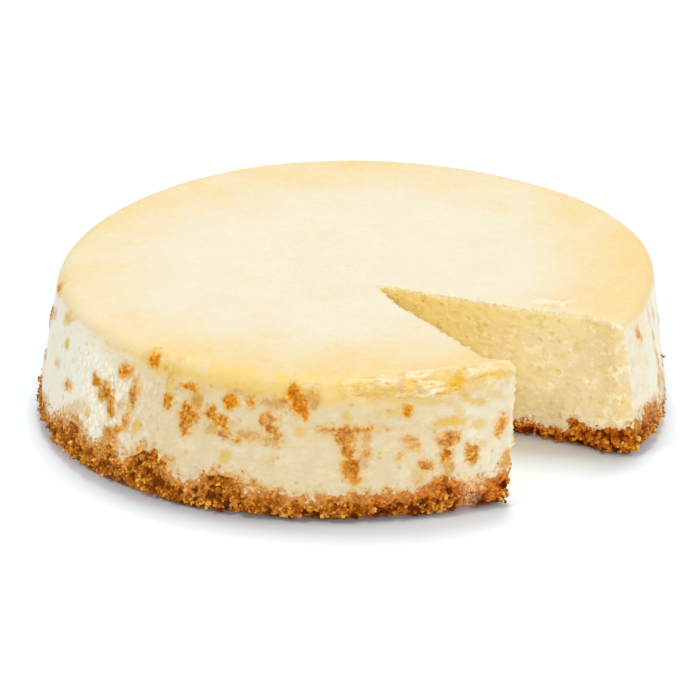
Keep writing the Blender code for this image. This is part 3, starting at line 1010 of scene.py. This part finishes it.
@dataclass
class Filling(Carved):
    """The baked cheese."""

    node: str = "cheese_filling"
    name: str = "filling"
    looks: CheeseLook = field(default_factory=CheeseLook)

    def build(self) -> bpy.types.Object:
        """Make the piece and return it."""
        piece = self.skin()
        self.stamp_regions(piece)
        self.stamp_colours(piece)
        self.carve(piece, self.relief, self.lift)
        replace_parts(piece, self.node)
        Bench.hand_in(piece, "baked_cheese", self.looks.body.shade("baked_cheese_look", self.looks.paint))
        return piece

    @staticmethod
    def stamp_regions(piece: bpy.types.Object) -> None:
        """Stamp the shares of top skin and cut face, and the edges between the regions."""
        to_top, to_cut, to_wall, to_under = (
            read_stamp(piece, "to_" + region) for region in ("top", "cut", "wall", "under")
        )
        stamp(
            piece,
            line=to_under + smeared(points_of(piece)) * (1 - smooth_step(to_cut, 0.9, 0.3)),
            top=smooth_step(to_top, 2.2, 0.4) * smooth_step(to_cut, 0.2, 0.9),
            cut=smooth_step(to_cut, 0.9, 0.3) * smooth_step(to_top, 0.2, 0.8),
            edge=smooth_step(np.maximum(to_top, to_cut), 2.6, 0.3),
            corner=smooth_step(np.maximum(to_wall, to_cut), 3.0, 0.3),
            foot=smooth_step(np.maximum(to_under, np.minimum(to_wall, to_cut)), 1.6, 0.5),
            under=smooth_step(to_under, 1.2, 0.3),
        )

    def stamp_colours(self, piece: bpy.types.Object) -> None:
        """Stamp how warm and how pale the cheese is, its stains and its rubbed patch."""
        points = points_of(piece)
        azimuths, radii = AXIS.polar(points)
        height = points[:, 2]
        top, cut = read_stamp(piece, "top"), read_stamp(piece, "cut")
        stamp(
            piece,
            arc=AXIS.arc(azimuths),
            warm=self.warmth(points, azimuths, radii, top, cut),
            pale=self.paleness(azimuths, height),
            rubbed=hump(azimuths, -143.5, 10.0) * smooth_step(height, 13, 20) * smooth_step(height, 46, 38),
            torn=np.maximum(
                hump(azimuths, -76.5, 15.0) * smooth_step(height, 42.5, 46.5) * smooth_step(radii, 98, 103),
                smooth_step(np.hypot(points[:, 0] - 71.7, (points[:, 1] + 39.8) * 1.6), 8.5, 4.0) * top,
            ),
            cool=hump(azimuths, -150, 34),
            hot=hump(azimuths, -68, 14),
            dragged=hump(azimuths, -78, 22.0) * smooth_step(height, 30, 38),
            band=hump(azimuths, -103, 28.0) * smooth_step(height, 44, 47) * smooth_step(radii, 99, 104),
        )
        depth = np.full(len(points), -6.0)
        strength = np.zeros(len(points))
        tone = np.zeros(len(points))
        for stain in (*STAINS, *HiddenStains().strewn()):
            inside = stain.depth(azimuths, points, radii)
            nearer = inside > depth
            depth = np.where(nearer, inside, depth)
            strength = np.where(nearer, stain.strength, strength)
            tone = np.where(nearer, stain.bake.value, tone)
        off = np.where((cut > 0.5) | (radii < 101), -6.0, depth)
        stamp(piece, stain=off, strength=strength, tone=tone)

    @staticmethod
    def warmth(
        points: np.ndarray, azimuths: np.ndarray, radii: np.ndarray, top: np.ndarray, cut: np.ndarray
    ) -> np.ndarray:
        """Work out how yellow the cheese is, from 0 to 1."""
        height = points[:, 2]
        sides = 0.62 + 0.38 * hump(azimuths, -85, 45) + 0.2 * hump(azimuths, 92, 10)
        sides += 0.26 * hump(azimuths, -5, 35) - 0.12 * hump(azimuths, 55, 25) - 0.22 * hump(azimuths, -162, 26)
        ring = 0.08 + 0.78 * sides * smooth_step(radii, 48, 106)
        band = smooth_step(height, 38, 48.5) * (0.15 + 0.85 * hump(azimuths, -100, 42))
        # On the cut the yellow deepens towards the apex and the top: partly the cheese's own colour, partly painted
        # shade deep in the notch.
        apex = smooth_step(radii, 100, 20)
        inner = 0.25 + 0.75 * apex + 0.3 * smooth_step(height, 38, 50)
        blend = ring * top + band * (1 - top)
        return np.clip(blend * (1 - cut) + inner * cut, 0, 1)

    @staticmethod
    def paleness(azimuths: np.ndarray, height: np.ndarray) -> np.ndarray:
        """Work out how white the side is, from 0 to 1."""
        left = smooth_step(-np.abs((azimuths + 168 + 180) % 360 - 180), -42, -8) + 0.35 * hump(azimuths, -64, 12)
        right = 0.66 * hump(azimuths, -8, 28)
        back = 0.55 * hump(azimuths, 90, 70)
        low = 0.08 * smooth_step(height, 34, 16) * hump(azimuths, -100, 30)
        return np.clip(0.15 + left + right + back + low, 0, 1)

    @staticmethod
    def relief(graph: Graph) -> Wire:
        """Draw how far each point moves along its normal, in millimetres."""
        at, rolled = graph.place(), graph.rolled()
        top, cut = graph.stamped("top"), graph.stamped("cut")
        outer = (1 - top) * (1 - cut)
        wave = (graph.noise(at, 26.0, 1.0) - 0.5) * 0.9
        curd = (graph.noise(at, 3.4, 3.0, 0.6) - 0.5) * 1.0
        drag = graph.noise(rolled * (0.2, 1.0, 1.0), 1.8, 2.0) - 0.5
        rarely = graph.step(graph.channel(graph.cells(at, 3.2, "Color"), 0), 0.72, 0.8)
        hole = graph.step(graph.cells(at, 3.2), 0.30, 0.10) * rarely * -0.7
        wall = wave + drag * (graph.stamped("dragged") * 0.8 + 0.2) + curd * 0.4 + hole
        skin = wave * 0.45 + curd * 0.14
        streak = graph.noise(at * (0.45, 0.45, 1.0), 2.2, 3.0, 0.65) - 0.5
        face = wave * 0.6 + curd * 1.0 + hole + streak * 1.5
        rubbed = graph.stamped("rubbed") * (graph.noise(at * (1.0, 1.0, 0.6), 1.3, 2.0) - 0.5) * 2.6
        gritty = graph.step(graph.stamped("stain"), -0.6, 0.6) * (graph.noise(at, 1.3, 2.0) - 0.34) * 2.2
        flap = flaps(graph)
        torn = (graph.step(flap, 0.44, 0.48) + graph.step(flap, 0.54, 0.58) - 1.0) * 1.1
        ragged = (graph.noise(at, 2.0, 3.0, 0.65) - 0.5) * 3.2 * (graph.stamped("edge") + graph.stamped("corner"))
        cheese = wall * outer + skin * top * (1 - cut) + face * cut + (rubbed + gritty) * outer
        cheese = cheese + torn * graph.stamped("torn") + ragged.at_most(1.3).at_least(-1.3)
        crumbed = graph.step(border(graph), 0.5, -0.5)
        near = graph.stamped("under") * 0.3 + graph.stamped("foot") * 0.3
        return cheese * (1 - crumbed) + (crumble(graph) * 0.7 + 0.2) * crumbed + near

    @staticmethod
    def lift(graph: Graph) -> Wire:
        """Draw how far each point rises: the lower lip sinks into the crumbs."""
        return graph.stamped("foot") * -0.8


# ---------------------------------------------------------------------------------------------
# The crumb base
# ---------------------------------------------------------------------------------------------


@dataclass
class CrumbBase(Carved):
    """The pressed biscuit crumbs."""

    node: str = "crumb_base"
    name: str = "crust"
    cuts: int = 2
    looks: CrumbLook = field(default_factory=CrumbLook)
    # Where loose crumbs lie heaped at the foot, and where the foot stands off the floor: azimuth and
    # half width.
    heaps: tuple[tuple[float, float], ...] = (
        (-146, 3), (-117.5, 2.5), (-101.5, 2), (-94.5, 3), (-75, 4), (-62, 2), (-22, 5), (60, 6), (120, 5)
    )
    gaps: tuple[tuple[float, float], ...] = (
        (-131, 4), (-110, 4.5), (-99, 2), (-84, 4), (-70, 2.5), (40, 5), (90, 7), (150, 6)
    )

    def build(self) -> bpy.types.Object:
        """Make the piece and return it."""
        piece = self.skin()
        points = points_of(piece)
        azimuths, _ = AXIS.polar(points)
        to_top, to_wall, to_cut = (read_stamp(piece, "to_" + region) for region in ("top", "wall", "cut"))
        seen = smooth_step(np.minimum(to_wall, to_cut), 1.6, 0.5)
        stamp(
            piece,
            line=smeared(points) * (1 - smooth_step(to_cut, 0.9, 0.3)) - to_top,
            cut=smooth_step(to_cut, 0.9, 0.3),
            seen=seen,
            brim=smooth_step(to_top, 2.6, 0.8) * seen,
            skirt=smooth_step(np.minimum(to_wall, to_cut), 7.0, 1.8) * (1 - 0.6 * smooth_step(to_cut, 3.0, 0.5)),
            pale=Filling.paleness(azimuths, points[:, 2]),
            cool=hump(azimuths, -150, 34),
            hot=hump(azimuths, -68, 14),
            dust=np.maximum(
                hump(azimuths, -68.8, 1.4) * smooth_step(points[:, 2], 17, 13), 0.95 * hump(azimuths, -16, 7)
            ),
            heap=np.maximum.reduce([hump(azimuths, middle, wide) for middle, wide in self.heaps]),
            gap=np.maximum.reduce([hump(azimuths, middle, wide) for middle, wide in self.gaps]),
        )
        self.carve(piece, self.relief, self.lift)
        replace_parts(piece, self.node)
        Bench.hand_in(piece, "baked_crumb", self.looks.body.shade("packed_crumb_look", self.looks.paint_base))
        return piece

    @staticmethod
    def relief(graph: Graph) -> Wire:
        """Draw how far each point moves along its normal, in millimetres."""
        crumbed = graph.step(border(graph), 0.5, -0.5)
        rough = crumble(graph) * crumbed
        tucked = graph.step(graph.channel(graph.place(), 2), 4.0, 0.6) * (2.0 - graph.stamped("cut") * 1.7)
        return (rough - tucked) * graph.stamped("seen") + graph.stamped("brim") * 0.4

    @staticmethod
    def lift(graph: Graph) -> Wire:
        """Draw how far the foot stands off the floor."""
        at = graph.place()
        low = graph.step(graph.channel(at, 2), 4.0, 0.8) * graph.stamped("skirt")
        ragged = graph.step(graph.noise(at, 4.0, 2.0), 0.3, 0.6) * 0.65 + 0.35
        return ragged * low * (graph.stamped("gap") * 1.8 + 1.2) + graph.stamped("brim") * 0.7


# ---------------------------------------------------------------------------------------------
# Loose grains
# ---------------------------------------------------------------------------------------------


@dataclass(frozen=True)
class Grain:
    """One kind of loose grain: its sizes, its shape and where it lies."""

    name: str
    smallest: float
    largest: float
    density: float  # grains for each square millimetre where they lie thickest
    spacing: float
    where: Callable[[Graph], Wire]
    detail: int = 1  # subdivisions of each grain
    sunk: float = 0.15  # share of the grain's size below the surface
    tones: tuple[float, float] = (0.1, 0.95)
    seed: int = 1
    shapes: int = 6
    reach: float = 0.3  # how far each corner is pulled about, as a share of the radius

    def moulds(self) -> bpy.types.Collection:
        """Model a few grains to copy from.

        Returns:
            A collection that holds them, each of diameter 1 mm at the origin.
        """
        box = bpy.data.collections.new(self.name + "_moulds")
        bpy.context.scene.collection.children.link(box)
        for index in range(self.shapes):
            bpy.ops.mesh.primitive_ico_sphere_add(subdivisions=self.detail, radius=0.5 * MM)
            mould = bpy.context.active_object
            mould.name = f"{self.name}_mould_{index}"
            Bench.pick(mould)
            bpy.ops.object.mode_set(mode="EDIT")
            bpy.ops.mesh.select_all(action="SELECT")
            bpy.ops.transform.vertex_random(
                offset=self.reach * 0.5 * MM, uniform=0.4, normal=0.3, seed=self.seed * 31 + index
            )
            bpy.ops.transform.resize(value=(1.0 + 0.06 * index, 0.92, 0.82 - 0.04 * (index % 3)))
            bpy.ops.object.mode_set(mode="OBJECT")
            for owner in mould.users_collection:
                owner.objects.unlink(mould)
            box.objects.link(mould)
        return box

    def strew(self, ground: bpy.types.Object, look: bpy.types.Material, slot: str) -> bpy.types.Object:
        """Strew the grains over a piece.

        Args:
            ground: the piece they lie on.
            look: their material.
            slot: the record's slot for them.

        Returns:
            One piece that holds every grain of the kind.
        """
        piece = ground.copy()
        piece.data = ground.data.copy()
        piece.name = self.name
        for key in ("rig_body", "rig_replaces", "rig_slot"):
            if key in piece:
                del piece[key]
        piece.parent = None
        bpy.context.scene.collection.objects.link(piece)
        box = self.moulds()
        tree = bpy.data.node_groups.new(self.name + "_strewn", "GeometryNodeTree")
        tree.interface.new_socket("Geometry", in_out="INPUT", socket_type="NodeSocketGeometry")
        tree.interface.new_socket("Geometry", in_out="OUTPUT", socket_type="NodeSocketGeometry")
        self.draw(Graph(tree), box)
        Bench.finish_with(piece, "NODES", node_group=tree)
        bpy.data.node_groups.remove(tree)
        for mould in list(box.objects):
            bpy.data.objects.remove(mould)
        bpy.data.collections.remove(box)
        Bench.thin(piece, PIECE_TRIANGLES)
        Bench.hand_in(piece, slot, look)
        return piece

    def draw(self, graph: Graph, box: bpy.types.Collection) -> None:
        """Draw the strewing: points on the ground, a turned and scaled grain on each, made real."""
        ground = graph.add("NodeGroupInput")
        sockets = {
            "Mesh": ground,
            "Distance Min": self.spacing * MM,
            "Density Max": self.density / MM**2,
            "Density Factor": self.where(graph).at_most(1.0).at_least(0.0),
            "Seed": self.seed,
        }
        points = graph.add("GeometryNodeDistributePointsOnFaces", {"distribute_method": "POISSON"}, sockets)
        normal = Wire(graph, points.socket.node.outputs["Normal"])
        draw = graph.add("FunctionNodeRandomValue", {"data_type": "FLOAT"}, {2: 0.0, 3: 1.0, "Seed": self.seed + 1}, 1)
        size = draw * draw * (self.largest - self.smallest) + self.smallest
        lift = normal * (size * ((0.5 - self.sunk) * MM * 0.6))
        points = graph.add("GeometryNodeSetPosition", {}, {"Geometry": points, "Offset": lift})
        points = graph.add(
            "GeometryNodeStoreNamedAttribute",
            {"data_type": "FLOAT", "domain": "POINT"},
            {"Geometry": points, "Name": "size", "Value": size},
        )
        turn = graph.add(
            "FunctionNodeRandomValue",
            {"data_type": "FLOAT_VECTOR"},
            {0: (0.0, 0.0, 0.0), 1: (math.tau, math.tau, math.tau), "Seed": self.seed + 2},
        )
        shape = graph.add(
            "FunctionNodeRandomValue", {"data_type": "INT"}, {4: 0, 5: self.shapes - 1, "Seed": self.seed + 3}, 2
        )
        moulds = graph.add(
            "GeometryNodeCollectionInfo", {}, {"Collection": box, "Separate Children": True, "Reset Children": True}
        )
        grains = graph.add(
            "GeometryNodeInstanceOnPoints",
            {},
            {
                "Points": points,
                "Instance": moulds,
                "Pick Instance": True,
                "Instance Index": shape,
                "Rotation": turn,
                "Scale": graph.stamped("size"),
            },
        )
        tone = graph.add(
            "FunctionNodeRandomValue",
            {"data_type": "FLOAT"},
            {2: self.tones[0], 3: self.tones[1], "Seed": self.seed + 4},
            1,
        )
        grains = graph.add(
            "GeometryNodeStoreNamedAttribute",
            {"data_type": "FLOAT", "domain": "INSTANCE"},
            {"Geometry": grains, "Name": "tone", "Value": tone},
        )
        grains = graph.add("GeometryNodeRealizeInstances", {}, {"Geometry": grains})
        floored = graph.add("GeometryNodeInputPosition").at_least((-1.0, -1.0, 0.0))
        grains = graph.add("GeometryNodeSetPosition", {}, {"Geometry": grains, "Position": floored})
        graph.add("NodeGroupOutput", {}, {0: grains})


def on_crust(fullness: float, top: float, low: float, heaped: float) -> Callable[[Graph], Wire]:
    """Say where on the base grains lie.

    Args:
        fullness: the share of the spots that are taken.
        top: height above the border, in millimetres, where they start.
        low: height where they lie thickest.
        heaped: how much thicker they lie in the heaps at the foot.

    Returns:
        A function that draws the share.
    """

    def where(graph: Graph) -> Wire:
        """Draw the share of grains."""
        seen = graph.step(graph.stamped("seen"), 0.7, 0.95)
        foot = graph.step(graph.channel(graph.place(), 2), 6.0, 1.5) * graph.stamped("heap") * heaped
        raised = graph.step(graph.stamped("relief"), -0.9, 0.1)
        return (graph.step(border(graph), top, low) * fullness + foot) * seen * raised

    return where


def in_heaps(graph: Graph) -> Wire:
    """Draw where the golden crumbs that broke off lie heaped: low on the base."""
    low = graph.step(graph.channel(graph.place(), 2), 8.0, 3.0)
    return low * graph.stamped("heap") * graph.stamped("seen") * graph.step(graph.noise(graph.place(), 3.0), 0.42, 0.55)


def on_stains(graph: Graph) -> Wire:
    """Draw where crumbs stick to the cheese: in its deeper stains and just above the crumb line."""
    inside = graph.step(graph.stamped("stain"), 0.2, 0.9) * graph.step(graph.stamped("tone"), 0.3, 0.5)
    strong = graph.step(graph.stamped("strength"), 0.55, 0.9)
    near = graph.step(border(graph), 2.0, -0.6) * (1 - graph.stamped("top")) * (1 - graph.stamped("under"))
    return (inside * strong * 0.3).at_least(near * 0.8)


def on_tears(graph: Graph) -> Wire:
    """Draw where shavings of cheese cling: low on the cut, along its edges and on the torn rim."""
    height = border(graph)
    low = graph.step(height, 0.2, 1.2) * graph.step(height, 4.5, 1.5) * graph.stamped("cut")
    patchy = graph.step(graph.noise(graph.place(), 4.0, 2.0), 0.42, 0.58)
    along = graph.stamped("edge") * 0.25 + graph.stamped("corner") * 0.4
    return (low + along * graph.step(graph.stamped("to_cut"), 1.2, 0.6)) * patchy


# ---------------------------------------------------------------------------------------------
# Studio
# ---------------------------------------------------------------------------------------------


@dataclass(frozen=True)
class Softbox:
    """A large, soft lamp that looks at the cake."""

    name: str
    place: tuple[float, float, float]  # metres
    size: float  # metres
    power: float  # watts

    def hang(self) -> None:
        """Put the lamp up."""
        data = bpy.data.lights.new(self.name, "AREA")
        data.shape = "SQUARE"
        data.size = self.size
        data.energy = self.power
        lamp = bpy.data.objects.new(self.name, data)
        lamp.location = self.place
        lamp.rotation_mode = "QUATERNION"
        lamp.rotation_quaternion = (-Vector(self.place)).to_track_quat("-Z", "Y")
        bpy.context.scene.collection.objects.link(lamp)


@dataclass(frozen=True)
class Studio:
    """The camera, the floor and the light."""

    aim: tuple[float, float, float] = (-0.67, -1.8, 16.41)
    stand: tuple[float, float, float] = (-0.67, -1479.1, 656.5)
    roll: float = -0.01401  # radians
    lens: float = 226.29
    floor_side: float = 8.0  # metres
    floor_tone: Colour = (0.86, 0.925, 0.965)
    sky: float = 0.49
    lamps: tuple[Softbox, ...] = (
        Softbox("overhead", (0.1, 0.78, 2.0), 0.8, 24.0),
        Softbox("key", (-1.4, -0.8, 1.35), 0.4, 11.5),
        Softbox("front", (0.8, -2.2, 0.6), 0.9, 19.5),
        Softbox("right", (1.6, -0.1, 0.9), 1.2, 6.5),
    )

    def set_up(self) -> None:
        """Make all of it."""
        self.place_camera()
        self.lay_floor()
        world = bpy.data.worlds.new("pale_room")
        world.use_nodes = True
        graph = Graph(world.node_tree)
        light = graph.add("ShaderNodeBackground", {}, {"Color": (1.0, 1.0, 1.0), "Strength": self.sky})
        graph.add("ShaderNodeOutputWorld", {}, {"Surface": light})
        bpy.context.scene.world = world
        bpy.context.scene.view_settings.view_transform = "Standard"
        for lamp in self.lamps:
            lamp.hang()

    def place_camera(self) -> None:
        """Aim the camera at the cake."""
        data = bpy.data.cameras.new("camera")
        data.lens = self.lens
        data.sensor_width = 36.0
        camera = bpy.data.objects.new("camera", data)
        stand, aim = Vector(self.stand) * MM, Vector(self.aim) * MM
        camera.location = stand
        camera.rotation_mode = "QUATERNION"
        turned = (aim - stand).to_track_quat("-Z", "Y")
        camera.rotation_quaternion = turned @ Quaternion((0.0, 0.0, 1.0), self.roll)
        bpy.context.scene.collection.objects.link(camera)
        bpy.context.scene.camera = camera

    def lay_floor(self) -> None:
        """Lay the plain pale floor."""
        bpy.ops.object.select_all(action="DESELECT")
        bpy.ops.mesh.primitive_plane_add(size=self.floor_side)
        floor = bpy.context.active_object
        floor.name = "floor"
        look = bpy.data.materials.new("floor_look")
        look.use_nodes = True
        graph = Graph(look.node_tree)
        sockets = {"Base Color": self.floor_tone, "Roughness": 0.9, "Specular IOR Level": 0.1}
        shader = graph.add("ShaderNodeBsdfPrincipled", {}, sockets)
        graph.add("ShaderNodeOutputMaterial", {}, {"Surface": shader})
        floor.data.materials.append(look)


def main() -> None:
    """Build the cake piece by piece."""
    logging.basicConfig(level=logging.INFO, format="%(name)s: %(message)s")
    Studio().set_up()
    base = CrumbBase()
    crust = base.build()
    filling = Filling().build()
    crumb_look = base.looks.body.shade("loose_crumb_look", base.looks.paint_grain)
    cheese = Filling().looks
    flake_look = cheese.body.shade("cheese_shaving_look", cheese.paint_flake)
    kinds = (
        (Grain("coarse_crumbs", 1.1, 2.6, 0.10, 1.2, on_crust(0.5, -1.5, -8.0, 1.0), 2, seed=3, reach=0.4), crust),
        (Grain("medium_crumbs", 0.75, 1.5, 0.9, 0.75, on_crust(0.5, -1.5, -6.0, 0.7), 1, seed=13, reach=0.5), crust),
        (Grain("fine_crumbs", 0.35, 0.75, 0.9, 0.4, on_crust(0.7, 0.8, -4.0, 0.0), 1, seed=23), crust),
        (Grain("stuck_crumbs", 0.35, 0.8, 1.2, 0.45, on_stains, 1, seed=33, sunk=0.3, tones=(0.35, 0.9)), filling),
        (Grain("golden_crumbs", 0.8, 2.0, 0.6, 0.9, in_heaps, 1, seed=53, tones=(0.8, 1.0), reach=0.45), crust),
        (Grain("cheese_shavings", 0.5, 1.4, 0.8, 0.6, on_tears, 1, seed=43, sunk=0.4, tones=(0.0, 0.8)), filling),
    )
    for grain, ground in kinds:
        if ground is crust or "crumb" in grain.name:
            grain.strew(ground, crumb_look, "baked_crumb")
        else:
            grain.strew(ground, flake_look, "baked_cheese")


if __name__ == "__main__":
    main()
